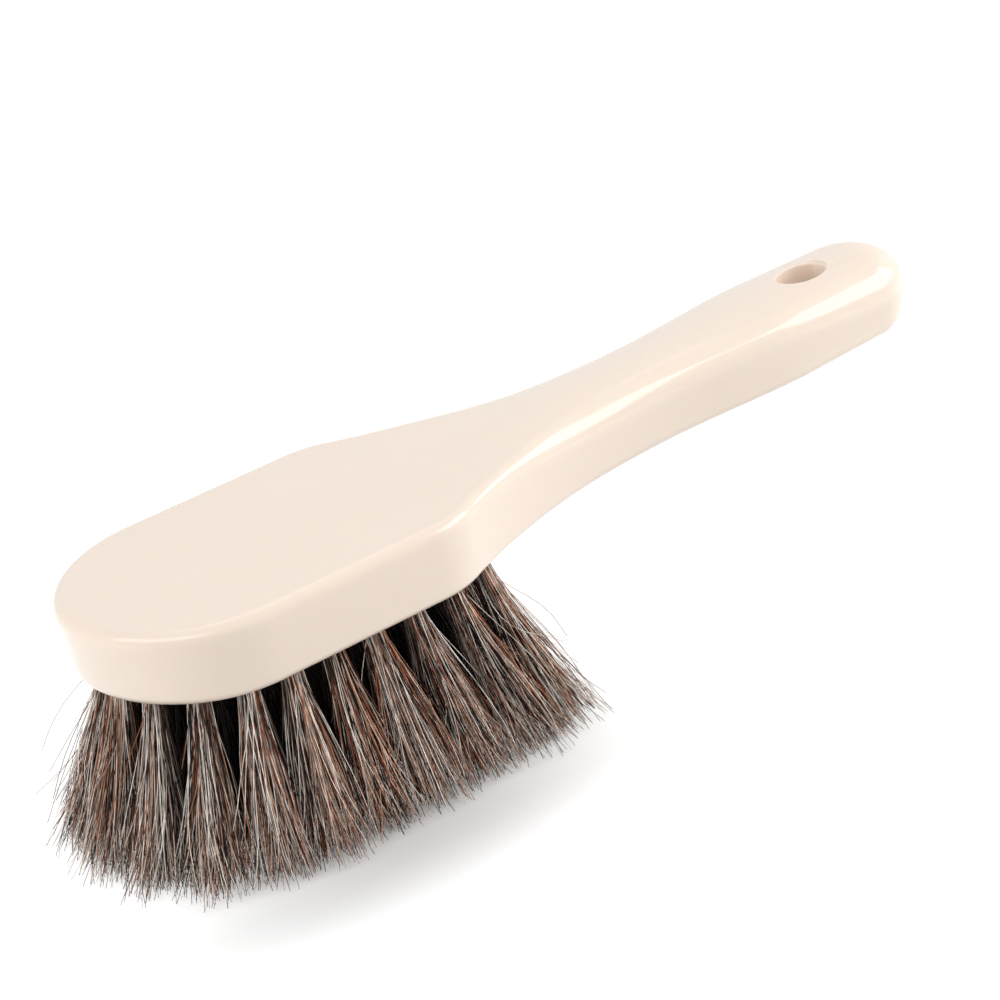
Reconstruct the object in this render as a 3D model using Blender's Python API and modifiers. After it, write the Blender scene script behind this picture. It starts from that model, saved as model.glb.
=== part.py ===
"""Detailing brush: a one-piece moulded block and handle, filled with horsehair tufts.

Metres, +Z up. The brush stands on its trimmed tips at z = 0, and its handle runs along +X.
Shapes are drawn with x measured from the block's front; the empty "brush" then centres the length.
"""

import math

import bmesh
import bpy
from mathutils import Matrix, Vector

# Block and handle, one moulding
OVERALL_LENGTH = 0.2178
BLOCK_LENGTH = 0.0747  # front of the block to the shoulder corner
BLOCK_WIDTH = 0.060
BLOCK_THICKNESS = 0.0168
SHOULDER_ROUNDING = 0.006  # how far before the shoulder corner its rounding starts
SHOULDER_TURN = (0.014, 0.009)  # along and inward, the way that the side leaves the corner
NECK_X = 0.1427  # narrowest place
NECK_WIDTH = 0.0242
GRIP_X = 0.182  # widest place of the grip
GRIP_WIDTH = 0.0292
END_ROUNDING = 0.0138  # length of the rounded end
HANDLE_THICKNESS = 0.0168
HANDLE_RISE = 0.0028  # the handle's end above the block's top
HANDLE_BLEND = 0.032  # length in which the block's section turns into the handle's
BLOCK_TOP_RADIUS = 0.0025
BLOCK_FOOT_RADIUS = 0.0018
NOSE_FOOT_RADIUS = 0.0038  # lower edge at the very front of the block
NOSE_BLEND = 0.022  # length in which it sharpens to the side's
GRIP_TOP_RADIUS = 0.0060
GRIP_FOOT_RADIUS = 0.0025
END_TOP_RADIUS = 0.0086
END_FOOT_RADIUS = 0.0065
END_TOP_BLEND = 0.030  # length in which the upper edge turns rounder, up to the round end
END_FOOT_BLEND = 0.018  # length in which the lower edge turns rounder, up to the tip of the end
GRIP_CROWN = 0.0008
WALL_DRAFT = 0.0008  # the wall leans in by this much at its foot
HANG_HOLE_LENGTH = 0.0122
HANG_HOLE_WIDTH = 0.0094
HANG_HOLE_TO_END = 0.0258

# Tufts and the wire anchors that hold them in blind holes
TRIM = 0.0382  # free length of the hair, underside to tips
EDGE_MARGIN = 0.008  # outer tufts from the block's edge
ROW_STEP = 0.011  # outer tufts to the inner ones
OUTER_TUFTS = 17
INNER_TUFTS = 13
CENTRE_TUFTS = 5
REAR_TUFTS = 5
SIDE_END_TO_SHOULDER = 0.0013  # the sides' last tufts to the shoulder corner
REAR_STEP = 0.0091  # the sides' last tufts to the rear row
REAR_EDGE_MARGIN = 0.0053
FIELD_MARGIN = 0.0045  # flat underside kept behind the rear row
HOLE_DIAMETER = 0.0050
HOLE_DEPTH = 0.0110
ROOT_CLEARANCE = 0.0003
ANCHOR_WIDTH = 0.0062
ANCHOR_HEIGHT = 0.0018
ANCHOR_THICKNESS = 0.0005
ANCHOR_FROM_ROOT_END = 0.0012
FLARE_CENTRE_X = 0.044  # the tufts lean away from here
LENGTHWISE_FLARE_SHARE = 0.33  # share by which the tips' pattern is longer than the holes'
SIDEWAYS_FLARE_SHARE = 0.44  # share by which it is wider
TIP_SPREAD = 0.0052  # a tuft's radius at its tips
STRANDS_PER_TUFT = 8
STRAND_RADIUS = 0.00050
STRAND_INSET = 0.00022
INNER_STRAND_SHARE = 0.45  # every second strand stays this near the tuft's middle
BEND_SHARE = 0.45  # share of the trim at which a strand bends
LEAN_POWER = 1.15

# Facets
ARC_STEPS = 9
CURVE_STEPS = 9
FILLET_STEPS = 4
HOLE_SIDES = 12
OVAL_SIDES = 20
MERGE = 0.00001
REACH = 0.002  # how far a cutter passes the surface that it cuts

HALF_WIDTH = BLOCK_WIDTH / 2
UNDERSIDE_Z = TRIM
TOP_Z = TRIM + BLOCK_THICKNESS
SIDE_END_X = BLOCK_LENGTH - SIDE_END_TO_SHOULDER
REAR_ROW_X = SIDE_END_X + REAR_STEP
BLEND_START_X = REAR_ROW_X + HOLE_DIAMETER / 2 + FIELD_MARGIN
HANG_HOLE_X = OVERALL_LENGTH - HANG_HOLE_TO_END
ROOT_RADIUS = HOLE_DIAMETER / 2 - ROOT_CLEARANCE
ROOT_LENGTH = HOLE_DEPTH - ROOT_CLEARANCE


def clear_scene():
    for obj in list(bpy.data.objects):
        bpy.data.objects.remove(obj)


def new_collection(name):
    made = bpy.data.collections.new(name)
    bpy.context.scene.collection.children.link(made)
    return made


def new_material(name, colour, roughness):
    made = bpy.data.materials.new(name)
    made.use_nodes = True
    shader = made.node_tree.nodes["Principled BSDF"]
    shader.inputs["Base Color"].default_value = (*colour, 1)
    shader.inputs["Roughness"].default_value = roughness
    shader.inputs["Metallic"].default_value = 0
    return made


def new_object(name, bm, collection, material=None, parent=None):
    mesh = bpy.data.meshes.new(name)
    bm.to_mesh(mesh)
    bm.free()
    obj = bpy.data.objects.new(name, mesh)
    collection.objects.link(obj)
    obj.parent = parent
    if material:
        mesh.materials.append(material)
    return obj


def ease(share):
    """0 to 1 with no slope at either end."""
    share = min(max(share, 0), 1)
    return share * share * (3 - 2 * share)


def between(low, high, share):
    return low + (high - low) * share


def bezier(points, share):
    """A point on the Bezier curve of any degree through its control points."""
    points = [Vector(p) for p in points]
    while len(points) > 1:
        points = [a.lerp(b, share) for a, b in zip(points, points[1:])]
    return points[0]


def arc(centre, radii, start, end, steps):
    """Points on an ellipse's arc, from angle start to angle end in degrees."""
    angles = [math.radians(between(start, end, k / steps)) for k in range(steps + 1)]
    return [Vector((centre + radii[0] * math.cos(a), radii[1] * math.sin(a))) for a in angles]


def half_outline():
    """The plan outline's +Y half, from the front of the block to the end of the handle."""
    along, inward = SHOULDER_TURN
    neck = (NECK_X, NECK_WIDTH / 2)
    grip = (GRIP_X, GRIP_WIDTH / 2)
    shoulder = (BLOCK_LENGTH, HALF_WIDTH)
    to_neck = [
        shoulder,
        (BLOCK_LENGTH + along, HALF_WIDTH - inward),
        (between(BLOCK_LENGTH, NECK_X, 0.53), neck[1]),
        neck,
    ]
    third = (GRIP_X - NECK_X) / 3
    to_grip = [neck, (NECK_X + third, neck[1]), (GRIP_X - third, grip[1]), grip]
    first = 1 / CURVE_STEPS
    corner = [
        (BLOCK_LENGTH - SHOULDER_ROUNDING, HALF_WIDTH),
        shoulder,
        bezier(to_neck, first),
    ]
    points = arc(HALF_WIDTH, (HALF_WIDTH, HALF_WIDTH), 180, 90, ARC_STEPS)
    points += [bezier(corner, k / 4) for k in range(5)]
    points += [bezier(to_neck, k / CURVE_STEPS) for k in range(2, CURVE_STEPS + 1)]
    points += [bezier(to_grip, k / 5) for k in range(1, 6)]
    end_x = OVERALL_LENGTH - END_ROUNDING
    points += arc(end_x, (END_ROUNDING, grip[1]), 90, 0, ARC_STEPS)
    return points


def outward_normals(points):
    """The plan normal at each outline point; at both ends it lies on the mirror plane."""
    normals = []
    for before, after in zip([points[0], *points], [*points[1:], points[-1]]):
        run = after - before
        normals.append(Vector((-run.y, run.x)).normalized())
    normals[0] = Vector((-1, 0))
    normals[-1] = Vector((1, 0))
    return normals


def blend_share(x):
    return ease((x - BLEND_START_X) / HANDLE_BLEND)


def top_z(x):
    share = max(x - BLEND_START_X, 0) / (OVERALL_LENGTH - BLEND_START_X)
    return TOP_Z + HANDLE_RISE * share**2


def foot_z(x):
    rise = top_z(x) - TOP_Z
    thickness = between(BLOCK_THICKNESS + rise, HANDLE_THICKNESS, blend_share(x))
    return top_z(x) - thickness


def section(x):
    """The wall's profile at x as (inset from the outline, z), from the underside up to the top."""
    thickness = top_z(x) - foot_z(x)
    top_share = ease((x - OVERALL_LENGTH + END_ROUNDING + END_TOP_BLEND) / END_TOP_BLEND)
    top_radius = between(BLOCK_TOP_RADIUS, GRIP_TOP_RADIUS, blend_share(x))
    top_radius = min(between(top_radius, END_TOP_RADIUS, top_share), 0.55 * thickness)
    foot_share = ease((x - OVERALL_LENGTH + END_FOOT_BLEND) / END_FOOT_BLEND)
    foot_radius = between(NOSE_FOOT_RADIUS, BLOCK_FOOT_RADIUS, ease(x / NOSE_BLEND))
    foot_radius = between(foot_radius, GRIP_FOOT_RADIUS, blend_share(x))
    foot_radius = min(between(foot_radius, END_FOOT_RADIUS, foot_share), 0.4 * thickness)
    quarter = [math.pi / 2 * k / FILLET_STEPS for k in range(FILLET_STEPS + 1)]
    foot = [
        (WALL_DRAFT + foot_radius * (1 - math.sin(a)), foot_z(x) + foot_radius * (1 - math.cos(a)))
        for a in quarter
    ]
    top = [
        (top_radius * (1 - math.cos(a)), top_z(x) - top_radius * (1 - math.sin(a)))
        for a in quarter
    ]
    return foot + top


def body_half():
    """The moulding's +Y half, open at the mirror plane: a grid wrapped round the outline."""
    points = half_outline()
    normals = outward_normals(points)
    rings = len(section(0)) + 2
    bm = bmesh.new()
    bmesh.ops.create_grid(
        bm, x_segments=len(points) - 1, y_segments=rings - 1, size=1
    )
    for vert in bm.verts:
        i = round((vert.co.x + 1) / 2 * (len(points) - 1))
        j = round((vert.co.y + 1) / 2 * (rings - 1))
        x, y = points[i]
        spine_x = min(max(x, HALF_WIDTH), OVERALL_LENGTH - END_ROUNDING)
        crown = GRIP_CROWN * blend_share(x)
        if j == 0:
            vert.co = (spine_x, 0, foot_z(spine_x))
        elif j == rings - 1:
            vert.co = (spine_x, 0, top_z(spine_x) + crown)
        else:
            inset, z = section(x)[j - 1]
            vert.co = (x - normals[i].x * inset, max(y - normals[i].y * inset, 0), z)
    bmesh.ops.remove_doubles(bm, verts=bm.verts, dist=MERGE)
    bmesh.ops.recalc_face_normals(bm, faces=bm.faces)
    return bm


def half_width_at(x):
    """The outline's half width behind the round front."""
    points = [p for p in half_outline() if p.x >= HALF_WIDTH]
    for before, after in zip(points, points[1:]):
        if before.x <= x <= after.x:
            return between(before.y, after.y, (x - before.x) / (after.x - before.x))


def round_the_front(margin, count):
    """Evenly spaced places on a U that stays this far inside the block's edge."""
    radius = HALF_WIDTH - margin
    side = SIDE_END_X - HALF_WIDTH
    bend = math.pi * radius
    places = []
    for k in range(count):
        along = (2 * side + bend) * k / (count - 1)
        turn = min(max(along - side, 0), bend) / radius
        straight = abs(along - side - bend / 2) - bend / 2
        x = HALF_WIDTH - radius * math.sin(turn) + max(straight, 0)
        places.append((x, -radius * math.cos(turn)))
    return places


def tuft_places():
    """Each tuft's name and its hole's centre on the underside."""
    rear_y = half_width_at(REAR_ROW_X) - REAR_EDGE_MARGIN
    rear_shares = [2 * k / (REAR_TUFTS - 1) - 1 for k in range(REAR_TUFTS)]
    centre_shares = [k / (CENTRE_TUFTS - 1) for k in range(CENTRE_TUFTS)]
    rows = {
        "outer": round_the_front(EDGE_MARGIN, OUTER_TUFTS),
        "inner": round_the_front(EDGE_MARGIN + ROW_STEP, INNER_TUFTS),
        "centre": [(between(HALF_WIDTH, SIDE_END_X, share), 0) for share in centre_shares],
        "rear": [(REAR_ROW_X, share * rear_y) for share in rear_shares],
    }
    return {
        f"tuft_{row}_{k + 1}": place for row, places in rows.items() for k, place in enumerate(places)
    }


def hole_cutter(places):
    """Every blind hole, as round drills standing in the block, none with a corner at the middle."""
    bm = bmesh.new()
    half_a_side = Matrix.Rotation(math.pi / HOLE_SIDES, 4, "Z")
    middle = UNDERSIDE_Z + (HOLE_DEPTH - REACH) / 2
    for x, y in places.values():
        bmesh.ops.create_cone(
            bm,
            cap_ends=True,
            segments=HOLE_SIDES,
            radius1=HOLE_DIAMETER / 2,
            radius2=HOLE_DIAMETER / 2,
            depth=HOLE_DEPTH + REACH,
            matrix=Matrix.Translation((x, y, middle)) @ half_a_side,
        )
    return bm


def box(bm, centre, size):
    place = Matrix.LocRotScale(Vector(centre), None, Vector(size))
    bmesh.ops.create_cube(bm, size=1, matrix=place)


def anchor_z():
    """The height of a seated anchor's middle."""
    return UNDERSIDE_Z + ROOT_LENGTH - ANCHOR_FROM_ROOT_END - ANCHOR_HEIGHT / 2


def slot_cutter(places):
    """The pair of notches that each anchor's ends bite into the wall of its hole."""
    bm = bmesh.new()
    play = 2 * ROOT_CLEARANCE
    size = (ANCHOR_THICKNESS + play, ANCHOR_WIDTH + play, ANCHOR_HEIGHT + play)
    for x, y in places.values():
        box(bm, (x, y, anchor_z()), size)
    return bm


def hang_hole_cutter():
    bm = bmesh.new()
    low = foot_z(HANG_HOLE_X) - REACH
    high = top_z(HANG_HOLE_X) + REACH
    scale = Vector((HANG_HOLE_LENGTH / 2, HANG_HOLE_WIDTH / 2, high - low))
    place = Matrix.LocRotScale(Vector((HANG_HOLE_X, 0, (low + high) / 2)), None, scale)
    bmesh.ops.create_cone(
        bm, cap_ends=True, segments=OVAL_SIDES, radius1=1, radius2=1, depth=1, matrix=place
    )
    return bm


def strand_centre(place, index, share):
    """Where a strand's middle is, at this share of the trim from the underside to the tip."""
    lean = share**LEAN_POWER
    from_centre = place[0] - FLARE_CENTRE_X
    flare = Vector((from_centre * LENGTHWISE_FLARE_SHARE, place[1] * SIDEWAYS_FLARE_SHARE))
    away = flare * lean
    angle = 2 * math.pi * (index + 0.5) / STRANDS_PER_TUFT
    reach = TIP_SPREAD - STRAND_RADIUS
    if index % 2:
        reach *= INNER_STRAND_SHARE
    spread = between(0.6 * ROOT_RADIUS, reach, lean)
    x = place[0] + away.x + spread * math.cos(angle)
    y = place[1] + away.y + spread * math.sin(angle)
    return Vector((x, y, UNDERSIDE_Z - TRIM * share))


def tuft(place):
    """A folded root in its hole, and the strands that grow out of its end without crossing."""
    if place[1] < 0:
        bm = tuft((place[0], -place[1]))
        bmesh.ops.scale(bm, vec=(1, -1, 1), verts=bm.verts)
        bmesh.ops.reverse_faces(bm, faces=bm.faces)
        return bm
    bm = bmesh.new()
    middle = UNDERSIDE_Z + ROOT_LENGTH / 2
    bmesh.ops.create_cone(
        bm,
        cap_ends=True,
        cap_tris=True,
        segments=STRANDS_PER_TUFT,
        radius1=ROOT_RADIUS,
        radius2=ROOT_RADIUS,
        depth=ROOT_LENGTH,
        matrix=Matrix.Translation((*place, middle)),
    )
    number = bm.faces.layers.int.new("strand")
    mouth = [f for f in bm.faces if f.calc_center_median().z < UNDERSIDE_Z + MERGE]
    bmesh.ops.inset_individual(bm, faces=mouth, thickness=STRAND_INSET)
    turn = 2 * math.pi / STRANDS_PER_TUFT
    for face in mouth:
        middle = face.calc_center_median()
        angle = math.atan2(middle.y - place[1], middle.x - place[0]) % (2 * math.pi)
        face[number] = int(angle / turn)
    ends = mouth
    for share, radius in ((BEND_SHARE, STRAND_RADIUS), (1, STRAND_RADIUS * 0.7)):
        ends = bmesh.ops.extrude_discrete_faces(bm, faces=ends)["faces"]
        for face in ends:
            old = face.calc_center_median()
            centre = strand_centre(place, face[number], share)
            for vert in face.verts:
                side = (vert.co - old).xy.normalized() * radius
                vert.co = centre + Vector((side.x, side.y, 0))
    return bm


def main():
    clear_scene()
    parts = new_collection("detailing_brush")
    cutters = new_collection("cutters")
    cream = new_material("cream_polypropylene", (0.86, 0.74, 0.60), 0.28)
    hair = new_material("horsehair", (0.12, 0.075, 0.055), 0.55)

    brush = bpy.data.objects.new("brush", None)
    parts.objects.link(brush)
    places = tuft_places()

    body = new_object("block_and_handle", body_half(), parts, cream, brush)
    mirror = body.modifiers.new("mirror", "MIRROR")
    mirror.use_axis = (False, True, False)
    mirror.merge_threshold = MERGE
    for name, bm in (
        ("tuft_holes", hole_cutter(places)),
        ("anchor_notches", slot_cutter(places)),
        ("hang_hole", hang_hole_cutter()),
    ):
        cutter = new_object(name, bm, cutters, parent=brush)
        cutter.hide_render = True
        cutter.display_type = "WIRE"
        cut = body.modifiers.new(name, "BOOLEAN")
        cut.object = cutter
        cut.operation = "DIFFERENCE"
    body.data.shade_smooth()
    body.data.set_sharp_from_angle(angle=math.radians(40))

    front_x = 0
    for name, place in places.items():
        obj = new_object(name, tuft(place), parts, hair, brush)
        front_x = min(front_x, *(v.co.x for v in obj.data.vertices))
        bm = bmesh.new()
        box(bm, (*place, anchor_z()), (ANCHOR_THICKNESS, ANCHOR_WIDTH, ANCHOR_HEIGHT))
        anchor = new_object(name + "_anchor", bm, cutters, parent=brush)
        anchor.hide_render = True
        anchor.display_type = "WIRE"
        join = obj.modifiers.new("anchor", "BOOLEAN")
        join.object = anchor
        join.operation = "UNION"

    brush.location.x = -(front_x + OVERALL_LENGTH) / 2


main()
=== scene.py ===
"""Detailing brush: a glossy moulded block and handle, filled with mixed horsehair."""

import math
import random

import bmesh
import bpy
from bpy.props import FloatProperty, FloatVectorProperty, IntProperty, PointerProperty
from mathutils import Matrix, Vector


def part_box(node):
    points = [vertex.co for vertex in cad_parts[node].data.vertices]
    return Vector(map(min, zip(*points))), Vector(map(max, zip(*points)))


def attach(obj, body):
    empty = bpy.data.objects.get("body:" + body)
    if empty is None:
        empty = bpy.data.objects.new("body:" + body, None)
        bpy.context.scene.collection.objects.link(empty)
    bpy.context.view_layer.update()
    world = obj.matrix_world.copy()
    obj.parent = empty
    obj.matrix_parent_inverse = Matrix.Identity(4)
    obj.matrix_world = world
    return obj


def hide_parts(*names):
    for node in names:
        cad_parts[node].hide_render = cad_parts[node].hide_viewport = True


bl_info = {
    "name": "Detailing Brush",
    "version": (1, 0, 0),
    "blender": (4, 5, 0),
    "location": "View3D > Sidebar > Brush",
    "description": "Builds a horsehair detailing brush on its packed solids",
    "category": "Add Mesh",
}

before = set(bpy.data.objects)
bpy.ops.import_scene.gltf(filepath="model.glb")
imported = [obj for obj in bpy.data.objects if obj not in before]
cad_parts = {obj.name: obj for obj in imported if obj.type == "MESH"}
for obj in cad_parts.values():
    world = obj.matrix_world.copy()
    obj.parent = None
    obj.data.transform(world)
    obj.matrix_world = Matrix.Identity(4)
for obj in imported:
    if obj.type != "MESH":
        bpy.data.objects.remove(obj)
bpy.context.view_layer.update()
MOULDING = "block_and_handle"
TUFTS = sorted(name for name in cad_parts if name.startswith("tuft_"))
FRONT_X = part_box(MOULDING)[0].x
REAR_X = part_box(MOULDING)[1].x

# The moulding's sizes, as its solid has them, with x from the front of the block
LENGTH = REAR_X - FRONT_X
BLOCK_LENGTH = 0.0747
HALF_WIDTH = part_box(MOULDING)[1].y
UNDERSIDE_Z = 0.0382
BLOCK_THICKNESS = 0.0168
TOP_Z = UNDERSIDE_Z + BLOCK_THICKNESS
# A short bend rounds the corner where the shoulder leaves the block
SHOULDER_BEND = 0.006
# The shoulder starts in this direction, and is level from this share of the way to the neck
SHOULDER_RUN = 0.014
SHOULDER_DROP = 0.009
SHOULDER_PULL = 0.53
NECK_X = 0.1427
NECK_HALF_WIDTH = 0.0121
GRIP_X = 0.182
GRIP_HALF_WIDTH = 0.0146
HANDLE_THICKNESS = 0.0168
HANDLE_RISE = 0.0028
BLEND_START_X = 0.0895
HANDLE_BLEND = 0.032
END_TOP_BLEND = 0.030
END_FOOT_BLEND = 0.018
NOSE_BLEND = 0.022
END_ROUNDING = 0.0138
WALL_DRAFT = 0.0008
# The back's first ring lies this far in from its rounded edge
BACK_RIM = 0.0006
HOLE_RADIUS = 0.0025
HOLE_DEPTH = 0.011
HANG_HOLE_X = LENGTH - 0.0258
# How far a drill or cutter runs past the skin it cuts
CUTTER_PAST = 0.002

# Steps along the moulding's outline, and round its skin from the foot up
QUARTER_STEPS = 40
SIDE_STEPS = 12
BEND_STEPS = 12
SHOULDER_STEPS = 40
NECK_STEPS = 20
FOOT_STEPS = 8
WALL_STEPS = 4
EDGE_STEPS = 14
BACK_STEPS = 8
UNDER_STEPS = 3
DRILL_SIDES = 20
LIP_ANGLES = (12, 30, 50, 70, 90)

# How a hair bends: typical metres that its tip wanders and its middle bows, by kind
HAIR_STEPS = 8
CURL_WANDER, CURL_BOW = 0.0035, 0.0042
STRAY_WANDER, STRAY_BOW = 0.0042, 0.0025
PLAIN_WANDER, PLAIN_BOW = 0.0016, 0.0021
MOST_WANDER, MOST_BOW = 0.007, 0.005
HAIR_WAVE = 0.0003
HAIR_HOOK = 0.0024
# No tip lies further than this from the middle of its tuft's tips
TIP_REACH = 0.0102
# Heights of the tips over the floor
PLAIN_TIP, PLAIN_TIP_SPREAD = 0.0002, 0.0012
STRAY_TIPS = (0.0003, 0.0100)
CURL_TIPS = (0.004, 0.022)
# A hair starts as a ring this deep, and thins to this share of its radius
ROOT_RING = 0.0005
TIP_TAPER = 0.55

# Wisps spread a little past the circle of their tuft's tips
WISP_SPREAD = 1.15

# Shades run from 0 for the darkest hair to 1 for the palest; a tuft shifts all of its own
TUFT_SHIFTS = (-0.05, 0.05)
STRAY_SHADES = (0.3, 0.95)
# Share of the hairs that have a shade of their own and not their wisp's
OWN_SHADES = 0.8
# A drawn shade, not the hair's own colour, keeps the gaps between the tufts deep. These shares
# of its colour are left inside the brush and on the outer tufts' inward side
INSIDE_LIGHT = 0.09
INWARD_LIGHT = 0.3
# The share of a hair's length, from its root, where the drawn shade starts to fade out
SHADED_TO = 0.7

LAMP_DISTANCE = 0.9
# The left fill's power as a share of the right one's
LEFT_FILL = 0.7
# The middle and half widths of a painted shadow in front of the tips: an oval where the paper is
# left unlifted and darker, round the shadow that falls there
PAINTED_SHADOW_MIDDLE = (-0.062, -0.044, 0)
PAINTED_SHADOW_HALF_WIDTHS = (0.092, 0.034, 1)


def linear(colour):
    """An sRGB hex colour as linear red, green, blue and alpha."""
    parts = [int(colour[k : k + 2], 16) / 255 for k in (1, 3, 5)]
    return (*((c / 12.92 if c <= 0.04045 else ((c + 0.055) / 1.055) ** 2.4) for c in parts), 1)


def add_node(tree, kind, links=(), **settings):
    """A node with its settings; links are (input name or number, socket) pairs."""
    made = tree.nodes.new(kind)
    for name, value in settings.items():
        if hasattr(made, name):
            setattr(made, name, value)
        else:
            made.inputs[name.replace("_", " ")].default_value = value
    for name, socket in links:
        tree.links.new(socket, made.inputs[name])
    return made


def new_material(name):
    """A material with only an output node."""
    made = bpy.data.materials.new(name)
    made.use_nodes = True
    made.node_tree.nodes.clear()
    return made, made.node_tree


def ease(share):
    """0 to 1 with no slope at either end."""
    share = min(max(share, 0), 1)
    return share * share * (3 - 2 * share)


def between(low, high, share):
    """The value a share of the way from low to high."""
    return low + (high - low) * share


def bezier(points, share):
    """A point on the Bezier curve of any degree through its control points."""
    points = [Vector(p) for p in points]
    while len(points) > 1:
        points = [a.lerp(b, share) for a, b in zip(points, points[1:])]
    return points[0]


def finish_piece(name, bm, material, *replaced, slot=None):
    """A mesh object at the origin that rides on the root and stands for its CAD nodes."""
    mesh = bpy.data.meshes.new(name)
    bm.to_mesh(mesh)
    bm.free()
    piece = bpy.data.objects.new(name, mesh)
    bpy.context.scene.collection.objects.link(piece)
    mesh.materials.append(material)
    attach(piece, "root")
    if replaced:
        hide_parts(*replaced)
    return piece


class BrushMouldingSettings(bpy.types.PropertyGroup):
    colour: FloatVectorProperty(
        name="Colour",
        description="The plastic's own colour",
        subtype="COLOR",
        size=4,
        min=0,
        max=1,
        default=linear("#F5E4D5"),
    )
    gloss_roughness: FloatProperty(
        name="Roughness",
        description="Roughness of the moulded surface, low for a polished mould",
        subtype="FACTOR",
        min=0,
        max=1,
        default=0.13,
    )
    polish: FloatProperty(
        name="Polish",
        description="How much sharper gloss the polished mould leaves over the plastic's own",
        subtype="FACTOR",
        min=0,
        max=1,
        default=0.5,
    )
    top_radius: FloatProperty(
        name="Block edge radius",
        description="Rounding of the block's upper edge",
        subtype="DISTANCE",
        default=0.0025,
    )
    foot_radius: FloatProperty(
        name="Block foot radius",
        description="Rounding of the block's lower edge",
        subtype="DISTANCE",
        default=0.0018,
    )
    nose_radius: FloatProperty(
        name="Block front foot radius",
        description="Rounding of the lower edge at the very front of the block",
        subtype="DISTANCE",
        default=0.0038,
    )
    grip_radius: FloatProperty(
        name="Handle edge radius",
        description="Rounding of the handle's upper edge",
        subtype="DISTANCE",
        default=0.0060,
    )
    grip_foot_radius: FloatProperty(
        name="Handle foot radius",
        description="Rounding of the handle's lower edge",
        subtype="DISTANCE",
        default=0.0025,
    )
    end_radius: FloatProperty(
        name="Handle end radius",
        description="Rounding of the upper edge round the handle's end",
        subtype="DISTANCE",
        default=0.0086,
    )
    end_foot_radius: FloatProperty(
        name="Handle end foot radius",
        description="Rounding of the lower edge round the handle's end",
        subtype="DISTANCE",
        default=0.0065,
    )
    crown: FloatProperty(
        name="Handle crown",
        description="How far the handle's back swells between its rounded edges",
        subtype="DISTANCE",
        default=0.0008,
    )
    hole_length: FloatProperty(
        name="Hang hole length",
        description="The oval hang hole along the handle",
        subtype="DISTANCE",
        default=0.0122,
    )
    hole_width: FloatProperty(
        name="Hang hole width",
        description="The oval hang hole across the handle",
        subtype="DISTANCE",
        default=0.0094,
    )
    hole_lip: FloatProperty(
        name="Hang hole lip",
        description="Rounding of the hang hole's rim",
        subtype="DISTANCE",
        default=0.0007,
    )


class BrushHairSettings(bpy.types.PropertyGroup):
    hairs: IntProperty(
        name="Hairs per tuft",
        description="Hairs in each tuft",
        min=1,
        default=520,
    )
    radius: FloatProperty(
        name="Hair radius",
        description="Radius of a hair at its root",
        subtype="DISTANCE",
        precision=5,
        default=0.00013,
    )
    root_radius: FloatProperty(
        name="Root radius",
        description="Radius of the bundle where it leaves its hole",
        subtype="DISTANCE",
        default=0.0022,
    )
    tip_radius: FloatProperty(
        name="Tip radius",
        description="Radius of the bundle at its trimmed tips",
        subtype="DISTANCE",
        default=0.0088,
    )
    flare_along: FloatProperty(
        name="Flare along",
        description="How much longer the tips' pattern is than the holes' pattern",
        min=0,
        default=0.27,
    )
    flare_across: FloatProperty(
        name="Flare across",
        description="How much wider the tips' pattern is than the holes' pattern",
        min=0,
        default=0.44,
    )
    flare_centre: FloatProperty(
        name="Flare centre",
        description="Distance from the block's front to the place that the tufts lean away from",
        subtype="DISTANCE",
        default=0.050,
    )
    stray_share: FloatProperty(
        name="Stray hairs",
        description="Share of the hairs that bend away from their tuft",
        subtype="FACTOR",
        min=0,
        max=1,
        default=0.04,
    )
    curl_share: FloatProperty(
        name="Curled hairs",
        description="Share of the hairs that bow out of their tuft and end above the tips",
        subtype="FACTOR",
        min=0,
        max=1,
        default=0.012,
    )
    locks: IntProperty(
        name="Wisps per tuft",
        description="Bunches that a tuft's hairs gather into at their tips",
        min=1,
        default=22,
    )
    locking: FloatProperty(
        name="Gathering",
        description="How far the hairs gather into their wisps",
        subtype="FACTOR",
        min=0,
        max=1,
        default=0.40,
    )


class BrushStageSettings(bpy.types.PropertyGroup):
    azimuth: FloatProperty(
        name="Azimuth",
        description="Where the camera stands round the brush, from straight beside it",
        subtype="ANGLE",
        default=math.radians(-30.955),
    )
    elevation: FloatProperty(
        name="Elevation",
        description="How far the camera looks down",
        subtype="ANGLE",
        default=math.radians(25.597),
    )
    roll: FloatProperty(
        name="Roll",
        description="How far the camera is turned about its own line of sight",
        subtype="ANGLE",
        default=math.radians(-11.06),
    )
    distance: FloatProperty(
        name="Distance",
        description="From the block's front to the camera along its line of sight",
        subtype="DISTANCE",
        default=0.58968,
    )
    shift_right: FloatProperty(
        name="Camera right",
        description="Camera to the right of the block's front",
        subtype="DISTANCE",
        default=0.08509,
    )
    shift_up: FloatProperty(
        name="Camera up",
        description="Camera above the block's front in its picture",
        subtype="DISTANCE",
        default=0.02431,
    )
    lens: FloatProperty(
        name="Lens",
        description="Focal length in millimetres on a 36 mm sensor",
        default=108,
    )
    surround: FloatProperty(
        name="Surround",
        description="Strength of the even light from all round",
        default=0.50,
    )
    right_power: FloatProperty(
        name="Right power",
        description="Watts of the softbox to the right of the camera",
        default=2.9,
    )
    left_power: FloatProperty(
        name="Left power",
        description="Watts of the softbox to the left of the camera",
        default=2.8,
    )
    back_power: FloatProperty(
        name="Back power",
        description="Watts of the softbox above and behind, which throws the soft shadow forwards",
        default=0.45,
    )
    fill_power: FloatProperty(
        name="Fill power",
        description="Watts of the low lamp to the right, which lights the walls unreflected",
        default=3.0,
    )
    paper_lift: FloatProperty(
        name="Paper lift",
        description="Light added to the paper where it is seen, so that it is white out of shadow",
        default=0.60,
    )


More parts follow.
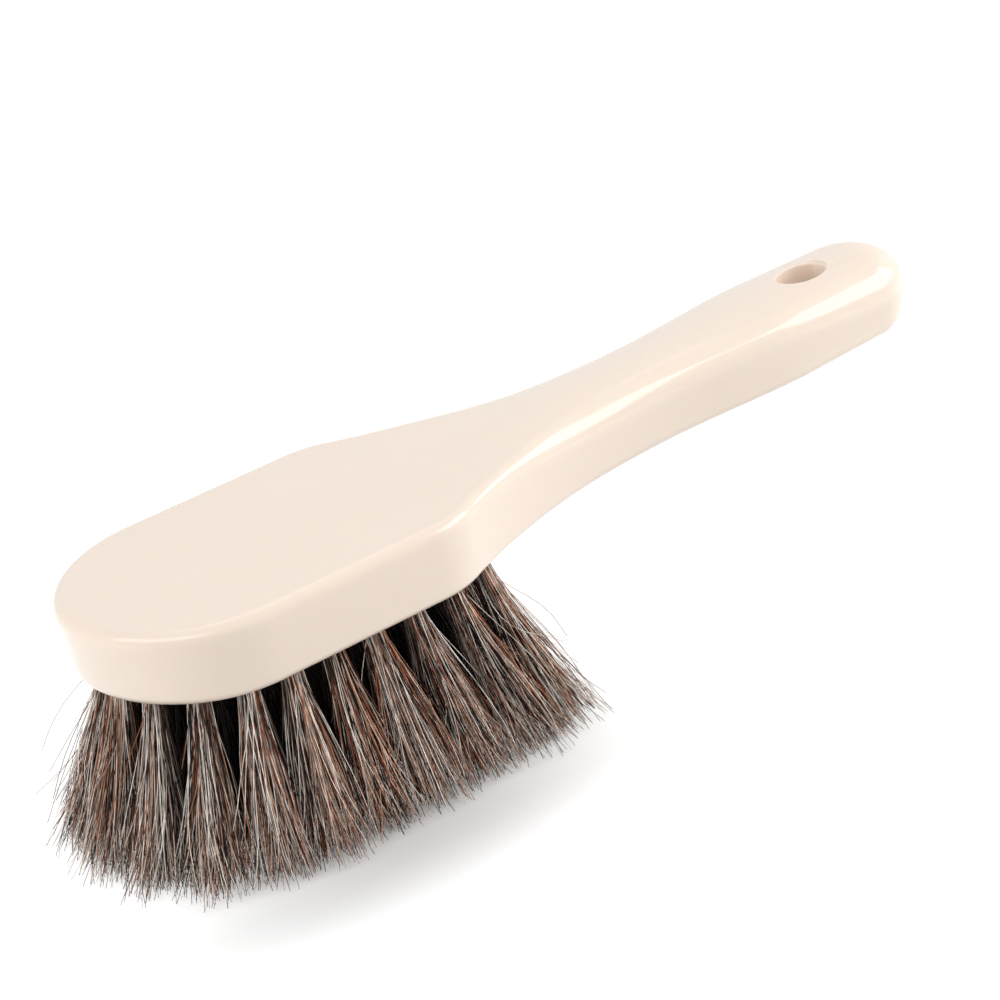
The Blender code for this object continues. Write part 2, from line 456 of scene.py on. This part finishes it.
def glossy_polypropylene(settings):
    """Injection-moulded polypropylene: pale cream, a little translucent, with a polished skin."""
    made, tree = new_material("glossy_cream_polypropylene")
    place = add_node(tree, "ShaderNodeTexCoord").outputs["Object"]
    # Flow marks from the gate, a few centimetres long, shift the colour very slightly
    flow = add_node(
        tree, "ShaderNodeTexNoise", [("Vector", place)], Scale=28, Detail=3, Roughness=0.5
    )
    tones = add_node(tree, "ShaderNodeMix", [("Factor", flow.outputs["Fac"])], data_type="RGBA")
    warmer = (0.965, 0.965, 0.95, 1)
    tones.inputs["A"].default_value = settings.colour
    tones.inputs["B"].default_value = [a * b for a, b in zip(settings.colour, warmer)]
    # A drawn shade, not a finish: walls within 8 mm of each other, as in the hang hole, darken
    open_share = add_node(
        tree, "ShaderNodeAmbientOcclusion", samples=8, only_local=True, Distance=0.008
    )
    drawn = add_node(tree, "ShaderNodeMapRange", [("Value", open_share.outputs["AO"])])
    drawn.inputs["From Min"].default_value = 0.1
    drawn.inputs["From Max"].default_value = 0.8
    drawn.inputs["To Min"].default_value = 0.6
    tones = add_node(
        tree,
        "ShaderNodeVectorMath",
        [(0, tones.outputs["Result"]), ("Scale", drawn.outputs["Result"])],
        operation="SCALE",
    )
    # Sink and flow ripples, some 9 mm apart, bend the reflections as on any thick moulding
    ripple = add_node(tree, "ShaderNodeTexNoise", [("Vector", place)], Scale=110, Detail=2)
    bump = add_node(
        tree,
        "ShaderNodeBump",
        [("Height", ripple.outputs["Fac"])],
        Strength=0.12,
        Distance=0.0004,
    )
    # Fine rub marks, about a millimetre long, dull the skin in places
    rub = add_node(tree, "ShaderNodeTexNoise", [("Vector", place)], Scale=900, Detail=2)
    dull = add_node(tree, "ShaderNodeMapRange", [("Value", rub.outputs["Fac"])])
    dull.inputs["To Min"].default_value = settings.gloss_roughness * 0.85
    dull.inputs["To Max"].default_value = settings.gloss_roughness * 1.25
    shader = add_node(
        tree,
        "ShaderNodeBsdfPrincipled",
        [
            ("Base Color", tones.outputs[0]),
            ("Roughness", dull.outputs["Result"]),
            ("Normal", bump.outputs["Normal"]),
        ],
        IOR=1.49,
    )
    shader.inputs["Coat Weight"].default_value = settings.polish
    shader.inputs["Coat Roughness"].default_value = settings.gloss_roughness / 2
    shader.inputs["Subsurface Weight"].default_value = 0.25
    shader.inputs["Subsurface Radius"].default_value = (1.0, 0.7, 0.45)
    shader.inputs["Subsurface Scale"].default_value = 0.002
    add_node(tree, "ShaderNodeOutputMaterial", [("Surface", shader.outputs["BSDF"])])
    return made


def horsehair():
    """Undyed horse tail hair: round and smooth, dark umber with rust, grey and blonde among it."""
    made, tree = new_material("mixed_horsehair")
    tint = add_node(tree, "ShaderNodeAttribute", attribute_name="tint")
    ramp = add_node(tree, "ShaderNodeValToRGB", [("Fac", tint.outputs["Fac"])])
    ramp.color_ramp.interpolation = "LINEAR"
    stops = (
        (0.00, "#070504"),
        (0.20, "#1E120E"),
        (0.30, "#5E3628"),
        (0.40, "#A45C3C"),
        (0.49, "#DEA886"),
        (0.54, "#8A6E5E"),
        (0.64, "#D0BCAE"),
        (0.75, "#F6EADF"),
        (0.89, "#FFF0DE"),
        (1.00, "#FFFCF8"),
    )
    ends = ramp.color_ramp.elements
    while len(ends) < len(stops):
        ends.new(0.5)
    for stop, (share, colour) in zip(ends, stops):
        stop.position = share
        stop.color = linear(colour)
    # Each hair pales and darkens along its length, every 3 mm or so
    place = add_node(tree, "ShaderNodeTexCoord").outputs["Object"]
    mottle = add_node(tree, "ShaderNodeTexNoise", [("Vector", place)], Scale=330, Detail=2)
    shade = add_node(tree, "ShaderNodeMapRange", [("Value", mottle.outputs["Fac"])])
    shade.inputs["From Min"].default_value = 0.3
    shade.inputs["From Max"].default_value = 0.7
    shade.inputs["To Min"].default_value = 0.62
    shade.inputs["To Max"].default_value = 1.28
    # The shade drawn between the tufts
    light = add_node(tree, "ShaderNodeAttribute", attribute_name="light")
    shade = add_node(
        tree,
        "ShaderNodeMath",
        [(0, shade.outputs["Result"]), (1, light.outputs["Fac"])],
        operation="MULTIPLY",
    )
    tones = add_node(
        tree,
        "ShaderNodeVectorMath",
        [(0, ramp.outputs["Color"]), ("Scale", shade.outputs[0])],
        operation="SCALE",
    )
    shader = add_node(
        tree,
        "ShaderNodeBsdfPrincipled",
        [("Base Color", tones.outputs[0])],
        Roughness=0.32,
        IOR=1.55,
    )
    shader.inputs["Specular IOR Level"].default_value = 0.18
    add_node(tree, "ShaderNodeOutputMaterial", [("Surface", shader.outputs["BSDF"])])
    return made


def half_outline():
    """The moulding's plan on the +Y side, from the block's front to the handle's end."""
    shoulder = (BLOCK_LENGTH, HALF_WIDTH)
    neck = (NECK_X, NECK_HALF_WIDTH)
    grip = (GRIP_X, GRIP_HALF_WIDTH)
    to_neck = [
        shoulder,
        (BLOCK_LENGTH + SHOULDER_RUN, HALF_WIDTH - SHOULDER_DROP),
        (between(BLOCK_LENGTH, NECK_X, SHOULDER_PULL), neck[1]),
        neck,
    ]
    third = (GRIP_X - NECK_X) / 3
    to_grip = [neck, (NECK_X + third, neck[1]), (GRIP_X - third, grip[1]), grip]
    bend_end = 1 / 9
    corner = [(BLOCK_LENGTH - SHOULDER_BEND, HALF_WIDTH), shoulder, bezier(to_neck, bend_end)]
    turns = [math.pi / 2 * k / QUARTER_STEPS for k in range(QUARTER_STEPS + 1)]
    points = [Vector((HALF_WIDTH * (1 - math.cos(a)), HALF_WIDTH * math.sin(a))) for a in turns]
    side = points[-1]
    points += [side.lerp(Vector(corner[0]), k / SIDE_STEPS) for k in range(1, SIDE_STEPS)]
    points += [bezier(corner, k / BEND_STEPS) for k in range(BEND_STEPS + 1)]
    for k in range(1, SHOULDER_STEPS + 1):
        points.append(bezier(to_neck, between(bend_end, 1, k / SHOULDER_STEPS)))
    points += [bezier(to_grip, k / NECK_STEPS) for k in range(1, NECK_STEPS)]
    points += [
        Vector((LENGTH - END_ROUNDING * (1 - math.sin(a)), grip[1] * math.cos(a))) for a in turns
    ]
    return points


def outward_normals(points):
    """The plan normal at each outline point; both ends lie on the mirror plane."""
    normals = []
    for before, after in zip([points[0], *points], [*points[1:], points[-1]]):
        run = after - before
        normals.append(Vector((-run.y, run.x)).normalized())
    normals[0] = Vector((-1, 0))
    normals[-1] = Vector((1, 0))
    return normals


def blend_share(x):
    """How far the moulding has turned from block to handle at x."""
    return ease((x - BLEND_START_X) / HANDLE_BLEND)


def top_z(x):
    """Height of the back at x, which rises towards the handle's end."""
    share = max(x - BLEND_START_X, 0) / (LENGTH - BLEND_START_X)
    return TOP_Z + HANDLE_RISE * share**2


def foot_z(x):
    """Height of the underside at x."""
    thickness = between(BLOCK_THICKNESS + top_z(x) - TOP_Z, HANDLE_THICKNESS, blend_share(x))
    return top_z(x) - thickness


def section(settings, point, normal):
    """The moulding's skin at one outline point, from the underside's middle to the back's."""
    x = point.x
    share = blend_share(x)
    spine = Vector((min(max(x, HALF_WIDTH), LENGTH - END_ROUNDING), 0))
    low, high = foot_z(x), top_z(x)
    end_share = ease((x - LENGTH + END_FOOT_BLEND) / END_FOOT_BLEND)
    foot_radius = between(settings.nose_radius, settings.foot_radius, ease(x / NOSE_BLEND))
    foot_radius = between(foot_radius, settings.grip_foot_radius, share)
    foot_radius = between(foot_radius, settings.end_foot_radius, end_share)
    end_share = ease((x - LENGTH + END_ROUNDING + END_TOP_BLEND) / END_TOP_BLEND)
    top_radius = between(settings.top_radius, settings.grip_radius, share)
    top_radius = between(top_radius, settings.end_radius, end_share)
    crown = settings.crown * share
    depth = (point - spine).length
    # The rounded edge stops where the crowned back's slope begins
    slope = math.atan2(2 * crown, depth - top_radius)
    edge = top_radius * (1 - math.sin(slope))
    swell = (depth - edge) * math.tan(slope) / 2
    centre_z = high + crown - swell - top_radius * math.cos(slope)
    skin = []
    for k in range(FOOT_STEPS + 1):
        a = math.pi / 2 * k / FOOT_STEPS
        inset = WALL_DRAFT + foot_radius * (1 - math.sin(a))
        skin.append((inset, low + foot_radius * (1 - math.cos(a))))
    foot_inset, foot_end = skin[-1]
    for k in range(1, WALL_STEPS):
        up = k / WALL_STEPS
        skin.append((foot_inset * (1 - up), between(foot_end, centre_z, up)))
    for k in range(EDGE_STEPS + 1):
        a = (math.pi / 2 - slope) * k / EDGE_STEPS
        skin.append((top_radius * (1 - math.cos(a)), centre_z + top_radius * math.sin(a)))
    rings = [(point - normal * inset, z) for inset, z in skin]
    back, foot = rings[-1][0], rings[0][0]
    inside = []
    for k in range(1, UNDER_STEPS + 1):
        along = k / UNDER_STEPS
        inside.append((foot.lerp(spine, along), between(low, foot_z(spine.x), along)))
    over = []
    for k in range(1, BACK_STEPS + 1):
        along = (k / BACK_STEPS) ** 2 if k > 1 else BACK_RIM / depth
        rise = (top_z(spine.x) - high) * ease(along)
        over.append((back.lerp(spine, along), high + rise + crown - swell * (1 - along) ** 2))
    return [*reversed(inside), *rings, *over]


def moulding_half(settings):
    """The moulding's +Y half as one grid wrapped round the outline, open at the mirror plane."""
    points = half_outline()
    sections = [section(settings, *pair) for pair in zip(points, outward_normals(points))]
    columns, rows = len(sections), len(sections[0])
    bm = bmesh.new()
    bmesh.ops.create_grid(bm, x_segments=columns - 1, y_segments=rows - 1, size=1)
    for vert in bm.verts:
        i = round((vert.co.x + 1) / 2 * (columns - 1))
        j = round((vert.co.y + 1) / 2 * (rows - 1))
        flat, z = sections[i][j]
        vert.co = (FRONT_X + flat.x, max(flat.y, 0), z)
    bmesh.ops.remove_doubles(bm, verts=bm.verts, dist=1e-6)
    return bm


def cut(piece, bm):
    """Takes a closed bmesh out of a piece for good."""
    mesh = bpy.data.meshes.new("cutter")
    bm.to_mesh(mesh)
    bm.free()
    cutter = bpy.data.objects.new("cutter", mesh)
    bpy.context.scene.collection.objects.link(cutter)
    boolean = piece.modifiers.new("cut", "BOOLEAN")
    boolean.object = cutter
    boolean.operation = "DIFFERENCE"
    bpy.context.view_layer.update()
    whole = piece.evaluated_get(bpy.context.evaluated_depsgraph_get())
    result = bpy.data.meshes.new_from_object(whole)
    piece.modifiers.remove(boolean)
    piece.data = result
    bpy.data.objects.remove(cutter)


def drills():
    """A round flat-ended drill for each tuft's blind hole."""
    bm = bmesh.new()
    depth = HOLE_DEPTH + CUTTER_PAST
    middle_z = UNDERSIDE_Z + HOLE_DEPTH - depth / 2
    for name in TUFTS:
        bmesh.ops.create_cone(
            bm,
            cap_ends=True,
            segments=DRILL_SIDES,
            radius1=HOLE_RADIUS,
            radius2=HOLE_RADIUS,
            depth=depth,
            matrix=Matrix.Translation((*tuft_place(name), middle_z))
            @ Matrix.Rotation(math.pi / DRILL_SIDES, 4, "Z"),
        )
    return bm


def hang_hole(settings):
    """The oval hole's cutter: a straight oval column that opens out to a round lip at both ends."""
    x = HANG_HOLE_X
    lip = settings.hole_lip
    high, low = top_z(x) + settings.crown * blend_share(x), foot_z(x)
    turns = [math.radians(a) for a in LIP_ANGLES]
    rounded = [(lip * (1 - math.sin(a)), lip * (1 - math.cos(a))) for a in turns]
    # Outside the skin the cutter keeps widening a little
    mouth = rounded[0][0] * 1.3
    stations = [(mouth, high + CUTTER_PAST)]
    stations += [(out, high - down) for out, down in rounded]
    stations += [(out, low + down) for out, down in reversed(rounded)]
    stations += [(mouth, low - CUTTER_PAST)]
    bm = bmesh.new()
    place = Matrix.Translation((FRONT_X + x, 0, stations[0][1]))
    bmesh.ops.create_circle(bm, cap_ends=True, segments=48, radius=1, matrix=place)
    ring = bm.faces[:]
    old = (1, 1)
    for number, (out, z) in enumerate(stations):
        if number:
            last = ring
            made = bmesh.ops.extrude_face_region(bm, geom=last)["geom"]
            ring = [part for part in made if isinstance(part, bmesh.types.BMFace)]
            if number > 1:
                bmesh.ops.delete(bm, geom=last, context="FACES_ONLY")
        new = (settings.hole_length / 2 + out, settings.hole_width / 2 + out)
        for vert in ring[0].verts:
            along, across = (vert.co.x - FRONT_X - x) / old[0], vert.co.y / old[1]
            vert.co = (FRONT_X + x + along * new[0], across * new[1], z)
        old = new
    bmesh.ops.recalc_face_normals(bm, faces=bm.faces)
    return bm


def tuft_place(name):
    """The centre of a tuft's hole, from the part of its solid that sits in the block."""
    seat = [v.co.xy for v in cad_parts[name].data.vertices if v.co.z > UNDERSIDE_Z + 0.002]
    low = Vector((min(p.x for p in seat), min(p.y for p in seat)))
    high = Vector((max(p.x for p in seat), max(p.y for p in seat)))
    return (low + high) / 2


def in_disc(rng):
    """A random place in a flat circle of radius 1."""
    angle = rng.uniform(0, 2 * math.pi)
    return Vector((math.cos(angle), math.sin(angle))) * math.sqrt(rng.random())


def leaning(settings, place):
    """How far the tuft at a place leans outwards by its tips."""
    from_centre = place.x - FRONT_X - settings.flare_centre
    return Vector((from_centre * settings.flare_along, place.y * settings.flare_across))


def hair_path(settings, place, rng, lock):
    """A hair's points from inside its hole to its trimmed tip, and whether it strays from lock."""
    own = in_disc(rng)
    root = place + own * settings.root_radius
    lean = leaning(settings, place)
    wander = Vector((rng.gauss(0, 1), rng.gauss(0, 1)))
    bow = Vector((rng.gauss(0, 1), rng.gauss(0, 1)))
    wave = Vector((rng.gauss(0, 1), rng.gauss(0, 1))) * HAIR_WAVE
    turns, start = rng.uniform(0.8, 1.8), rng.random()
    hook = Vector((rng.gauss(0, 1), rng.gauss(0, 1))) * HAIR_HOOK
    kind = rng.random()
    if kind < settings.curl_share:
        wander *= CURL_WANDER
        bow *= CURL_BOW
        low = rng.uniform(*CURL_TIPS)
    elif kind < settings.curl_share + settings.stray_share:
        wander *= STRAY_WANDER
        bow *= STRAY_BOW
        low = rng.uniform(*STRAY_TIPS)
    else:
        wander *= PLAIN_WANDER
        bow *= PLAIN_BOW
        low = PLAIN_TIP + abs(rng.gauss(0, PLAIN_TIP_SPREAD))
    bow = bow.normalized() * min(bow.length, MOST_BOW)
    wander = wander.normalized() * min(wander.length, MOST_WANDER)
    spread = own.lerp(in_disc(rng), 0.6).lerp(lock, settings.locking)
    aside = spread * settings.tip_radius + wander
    reach = min(TIP_REACH / (aside + hook).length, 1)
    tip = place + lean + aside * reach
    points = []
    for k in range(HAIR_STEPS + 1):
        share = k / HAIR_STEPS
        flat = root.lerp(tip, share**1.2) + bow * math.sin(math.pi * share) * share
        flat += wave * math.sin(2 * math.pi * (turns * share + start)) * share
        flat += hook * reach * share**3
        points.append(Vector((*flat, between(UNDERSIDE_Z + 0.001, low, share))))
    return points, kind < settings.curl_share + settings.stray_share


def grow_tuft(name, settings):
    """One tuft's hairs as closed three-sided strands, all grown ring by ring from their roots."""
    rng = random.Random(name)
    place = tuft_place(name)
    base = rng.uniform(*TUFT_SHIFTS)
    outside = "outer" in name or "rear" in name
    lean = leaning(settings, place)
    middle = place + lean
    locks = [(in_disc(rng) * WISP_SPREAD, rng.random()) for _ in range(settings.locks)]
    paths, shades, lights = [], [], []
    for _ in range(settings.hairs):
        lock, shade = rng.choice(locks)
        path, strays = hair_path(settings, place, rng, lock)
        paths.append(path)
        if strays:
            shade = rng.uniform(*STRAY_SHADES)
        elif rng.random() < OWN_SHADES:
            shade = rng.random()
        shades.append(min(max(shade + base, 0), 1))
        # Hair inside the brush, or on an outer tuft's inward side, is drawn in shade
        inward = lean.dot(path[-1].to_2d() - middle) < 0 and not strays
        lights.append(INSIDE_LIGHT if not outside else INWARD_LIGHT if inward else 1)
    bm = bmesh.new()
    for path in paths:
        bmesh.ops.create_cone(
            bm,
            cap_ends=True,
            segments=3,
            radius1=settings.radius,
            radius2=settings.radius,
            depth=ROOT_RING,
            matrix=Matrix.Translation(path[0] + Vector((0, 0, ROOT_RING / 2)))
            @ Matrix.Rotation(rng.uniform(0, 2), 4, "Z"),
        )
    number = bm.faces.layers.int.new("hair")
    tint = bm.verts.layers.float.new("tint")
    light = bm.verts.layers.float.new("light")
    bm.verts.ensure_lookup_table()
    for hair, shade in enumerate(shades):
        for vert in bm.verts[hair * 6 : hair * 6 + 6]:
            vert[tint] = shade
            vert[light] = lights[hair]
            for face in vert.link_faces:
                face[number] = hair
    ends = [face for face in bm.faces if face.normal.z < -0.9]
    for k in range(1, HAIR_STEPS + 1):
        ends = bmesh.ops.extrude_discrete_faces(bm, faces=ends)["faces"]
        share, before = k / HAIR_STEPS, (k - 1) / HAIR_STEPS
        taper = between(1, TIP_TAPER, share) / between(1, TIP_TAPER, before)
        lit = ease((share - SHADED_TO) / (1 - SHADED_TO))
        for face in ends:
            path = paths[face[number]]
            for vert in face.verts:
                vert[light] = between(lights[face[number]], 1, lit)
                vert.co = path[k] + (vert.co - path[k - 1]) * taper
    return bm


class BRUSH_OT_moulding(bpy.types.Operator):
    """Make the block and handle with its tuft holes and hang hole"""

    bl_idname = "brush.moulding"
    bl_label = "Block and handle"

    def execute(self, context):
        settings = context.scene.brush_moulding
        bm = moulding_half(settings)
        half = bm.verts[:] + bm.edges[:] + bm.faces[:]
        bmesh.ops.mirror(bm, geom=half, merge_dist=1e-6, axis="Y")
        bmesh.ops.remove_doubles(bm, verts=bm.verts, dist=1e-6)
        bmesh.ops.recalc_face_normals(bm, faces=bm.faces)
        piece = finish_piece(
            "moulded_block_and_handle",
            bm,
            glossy_polypropylene(settings),
            MOULDING,
            slot="moulding",
        )
        cut(piece, drills())
        cut(piece, hang_hole(settings))
        piece.data.shade_smooth()
        piece.data.set_sharp_from_angle(angle=math.radians(35))
        return {"FINISHED"}


class BRUSH_OT_tufts(bpy.types.Operator):
    """Fill every hole with its tuft of hair"""

    bl_idname = "brush.tufts"
    bl_label = "Horsehair tufts"

    def execute(self, context):
        settings = context.scene.brush_hair
        material = horsehair()
        for name in TUFTS:
            bm = grow_tuft(name, settings)
            piece = finish_piece("hair_" + name, bm, material, name, slot="horsehair")
            piece.data.shade_smooth()
        return {"FINISHED"}


def lamp(name, place, aim, size, power):
    """A rectangular softbox at place that faces aim."""
    data = bpy.data.lights.new(name, "AREA")
    data.shape = "RECTANGLE"
    data.size, data.size_y = size
    data.energy = power
    made = bpy.data.objects.new(name, data)
    made.location = place
    made.rotation_mode = "QUATERNION"
    made.rotation_quaternion = (Vector(aim) - Vector(place)).to_track_quat("-Z", "Y")
    bpy.context.scene.collection.objects.link(made)
    return made


def white_world(settings):
    """Even light from all round, which shows as plain white behind and in reflections."""
    world = bpy.data.worlds.new("white_studio")
    bpy.context.scene.world = world
    world.use_nodes = True
    tree = world.node_tree
    tree.nodes.clear()
    path = add_node(tree, "ShaderNodeLightPath")
    seen = add_node(
        tree,
        "ShaderNodeMath",
        [(0, path.outputs["Is Camera Ray"]), (1, path.outputs["Is Glossy Ray"])],
        operation="MAXIMUM",
    )
    seen = add_node(
        tree,
        "ShaderNodeMath",
        [(0, seen.outputs[0]), (1, path.outputs["Is Transmission Ray"])],
        operation="MAXIMUM",
    )
    strength = add_node(tree, "ShaderNodeMapRange", [("Value", seen.outputs[0])])
    strength.inputs["To Min"].default_value = settings.surround
    strength.inputs["To Max"].default_value = 1.0
    light = add_node(
        tree,
        "ShaderNodeBackground",
        [("Strength", strength.outputs["Result"])],
        Color=(1, 1, 1, 1),
    )
    add_node(tree, "ShaderNodeOutputWorld", [("Surface", light.outputs[0])])


def paper_sweep(settings):
    """Matt white background paper, lifted to white where it is seen, but not in an oval of painted
    shadow in front of the tips.
    """
    made, tree = new_material("matt_white_paper")
    path = add_node(tree, "ShaderNodeLightPath")
    seen = add_node(
        tree,
        "ShaderNodeMath",
        [(0, path.outputs["Is Camera Ray"]), (1, path.outputs["Is Glossy Ray"])],
        operation="MAXIMUM",
    )
    # Painted shadow: the lift fades in from the middle of the unlifted, darker oval to its rim
    place = add_node(tree, "ShaderNodeTexCoord").outputs["Object"]
    moved = add_node(tree, "ShaderNodeVectorMath", [(0, place)], operation="SUBTRACT")
    moved.inputs[1].default_value = PAINTED_SHADOW_MIDDLE
    oval = add_node(tree, "ShaderNodeVectorMath", [(0, moved.outputs[0])], operation="DIVIDE")
    oval.inputs[1].default_value = PAINTED_SHADOW_HALF_WIDTHS
    reach = add_node(tree, "ShaderNodeVectorMath", [(0, oval.outputs[0])], operation="LENGTH")
    lift = add_node(
        tree,
        "ShaderNodeMapRange",
        [("Value", reach.outputs["Value"])],
        interpolation_type="SMOOTHSTEP",
    )
    lift.inputs["To Max"].default_value = settings.paper_lift
    lift = add_node(
        tree,
        "ShaderNodeMath",
        [(0, seen.outputs[0]), (1, lift.outputs["Result"])],
        operation="MULTIPLY",
    )
    paper = add_node(tree, "ShaderNodeBsdfDiffuse", Color=linear("#DCDCDC"))
    glow = add_node(tree, "ShaderNodeEmission", [("Strength", lift.outputs[0])])
    both = add_node(tree, "ShaderNodeAddShader", [(0, paper.outputs[0]), (1, glow.outputs[0])])
    add_node(tree, "ShaderNodeOutputMaterial", [("Surface", both.outputs[0])])
    return made


class BRUSH_OT_stage(bpy.types.Operator):
    """Set up the paper, lights and camera"""

    bl_idname = "brush.stage"
    bl_label = "Stage"

    def execute(self, context):
        settings = context.scene.brush_stage
        bm = bmesh.new()
        bmesh.ops.create_grid(bm, x_segments=1, y_segments=1, size=4)
        mesh = bpy.data.meshes.new("paper")
        bm.to_mesh(mesh)
        bm.free()
        paper = bpy.data.objects.new("paper", mesh)
        paper.location.z = -0.0001
        context.scene.collection.objects.link(paper)
        mesh.materials.append(paper_sweep(settings))
        white_world(settings)
        # Each aims at a place along the brush, from an azimuth and an elevation in degrees
        for name, aim_x, azimuth, elevation, size, power, shows in (
            ("right_softbox", 0.03, 60, 33, (0.66, 0.48), settings.right_power, True),
            ("left_softbox", -0.08, -71, 49, (1.10, 0.40), settings.left_power, True),
            ("back_softbox", 0, 149, 60, (0.45, 0.45), settings.back_power, True),
            ("right_fill", 0.03, 65, 12, (0.60, 0.30), settings.fill_power, False),
            ("left_fill", -0.08, -98, 12, (0.60, 0.30), settings.fill_power * LEFT_FILL, False),
        ):
            turn, tilt = math.radians(azimuth), math.radians(elevation)
            away = Vector((math.sin(turn), -math.cos(turn), math.tan(tilt))).normalized()
            aim = Vector((aim_x, 0, 0.05))
            made = lamp(name, aim + away * LAMP_DISTANCE, aim, size, power)
            made.visible_glossy = shows
        scene = context.scene
        scene.view_settings.view_transform = "Standard"
        azimuth, elevation, roll = settings.azimuth, settings.elevation, settings.roll
        back = Vector(
            (
                math.sin(azimuth) * math.cos(elevation),
                -math.cos(azimuth) * math.cos(elevation),
                math.sin(elevation),
            )
        )
        side = Vector((math.cos(azimuth), math.sin(azimuth), 0))
        up = back.cross(side)
        right = math.cos(roll) * side + math.sin(roll) * up
        top = math.cos(roll) * up - math.sin(roll) * side
        camera = bpy.data.objects.new("camera", bpy.data.cameras.new("camera"))
        camera.data.lens = settings.lens
        camera.data.sensor_width = 36
        camera.data.clip_end = 20
        place = right * settings.shift_right + top * settings.shift_up + back * settings.distance
        place += Vector((FRONT_X, 0, TOP_Z))
        turn = Matrix((right, top, back)).transposed().to_4x4()
        camera.matrix_world = Matrix.Translation(place) @ turn
        scene.collection.objects.link(camera)
        scene.camera = camera
        return {"FINISHED"}


class BRUSH_PT_panel(bpy.types.Panel):
    """The brush's settings and steps"""

    bl_label = "Detailing brush"
    bl_idname = "BRUSH_PT_panel"
    bl_space_type = "VIEW_3D"
    bl_region_type = "UI"
    bl_category = "Brush"

    def draw(self, context):
        for step, group in (
            (BRUSH_OT_moulding, context.scene.brush_moulding),
            (BRUSH_OT_tufts, context.scene.brush_hair),
            (BRUSH_OT_stage, context.scene.brush_stage),
        ):
            box = self.layout.box()
            for name in group.bl_rna.properties.keys():
                if name not in ("rna_type", "name"):
                    box.prop(group, name)
            box.operator(step.bl_idname)


CLASSES = (
    BrushMouldingSettings,
    BrushHairSettings,
    BrushStageSettings,
    BRUSH_OT_moulding,
    BRUSH_OT_tufts,
    BRUSH_OT_stage,
    BRUSH_PT_panel,
)


def register():
    for cls in CLASSES:
        bpy.utils.register_class(cls)
    bpy.types.Scene.brush_moulding = PointerProperty(type=BrushMouldingSettings)
    bpy.types.Scene.brush_hair = PointerProperty(type=BrushHairSettings)
    bpy.types.Scene.brush_stage = PointerProperty(type=BrushStageSettings)


def unregister():
    del bpy.types.Scene.brush_stage
    del bpy.types.Scene.brush_hair
    del bpy.types.Scene.brush_moulding
    for cls in reversed(CLASSES):
        bpy.utils.unregister_class(cls)


def main():
    """Builds the brush and its stage."""
    register()
    bpy.ops.brush.moulding()
    bpy.ops.brush.tufts()
    bpy.ops.brush.stage()


if __name__ == "__main__":
    main()
